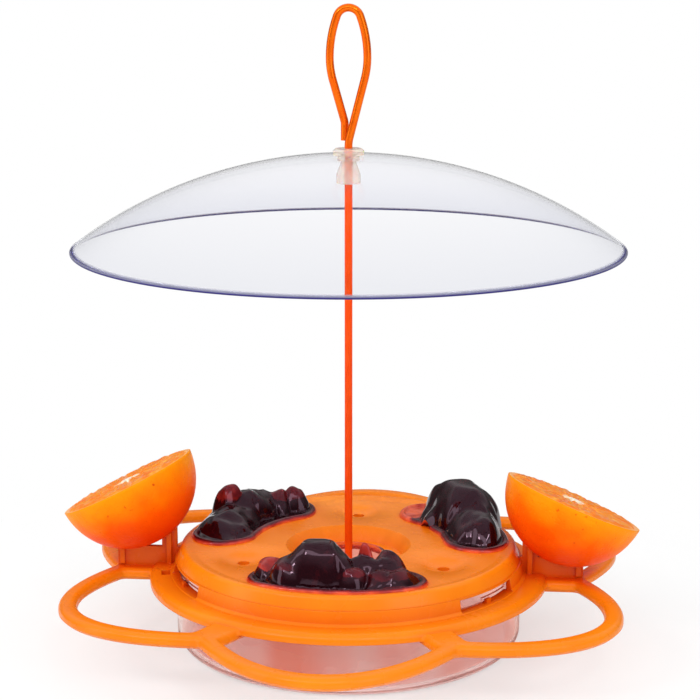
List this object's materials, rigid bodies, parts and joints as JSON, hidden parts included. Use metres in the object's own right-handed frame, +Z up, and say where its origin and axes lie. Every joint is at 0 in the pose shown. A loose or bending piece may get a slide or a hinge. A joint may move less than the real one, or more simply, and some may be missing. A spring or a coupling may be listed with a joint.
{
  "type": "bird feeder",
  "caption": "Hanging feeder for nectar, jelly and fruit: a clear bowl under a lid with wells, ports and perch loops, on a rod with a domed rain guard that slides.",
  "frame": {"origin": "middle of the bowl's foot ring, on the rod's axis, at the height of a table under it", "axes": "+Z up along the rod, the front of the feeder faces -Y, the fruit prongs stand on the X axis"},
  "size_m": [0.2997, 0.3108, 0.3292],
  "materials": {
    "clear_bowl": "clear moulded plastic, polished",
    "orange_lid": "opaque orange moulded plastic, glossy",
    "painted_rod": "orange powder coat, glossy",
    "clear_guard": "clear moulded plastic, polished",
    "soft_grommet": "translucent soft plastic",
    "orange_fruit": "orange peel with a moist cut face",
    "grape_jelly": "wet dark jelly"
  },
  "bodies": {
    "bowl": {"nectar_bowl": "clear_bowl", "hanging_rod": "painted_rod"},
    "lid": {"feeder_lid": "orange_lid", "orange_half_right": "orange_fruit", "orange_half_left": "orange_fruit", "jelly_left": "grape_jelly", "jelly_front": "grape_jelly", "jelly_right": "grape_jelly"},
    "grommet": {"guard_grommet": "soft_grommet"},
    "guard": {"weather_guard": "clear_guard"}
  },
  "joints": [
    {"name": "lid_twist", "type": "hinge", "parent": "bowl", "child": "lid", "pos_m": [0, 0, 0.04], "axis": [0, 0, 1], "range_deg": [0, 30]},
    {"name": "guard_slide", "type": "slide", "parent": "bowl", "child": "grommet", "axis": [0, 0, 1], "range_m": [-0.11, 0]},
    {"name": "guard_spin", "type": "hinge", "parent": "grommet", "child": "guard", "pos_m": [0, 0, 0.2536], "axis": [0, 0, 1], "continuous": true}
  ]
}
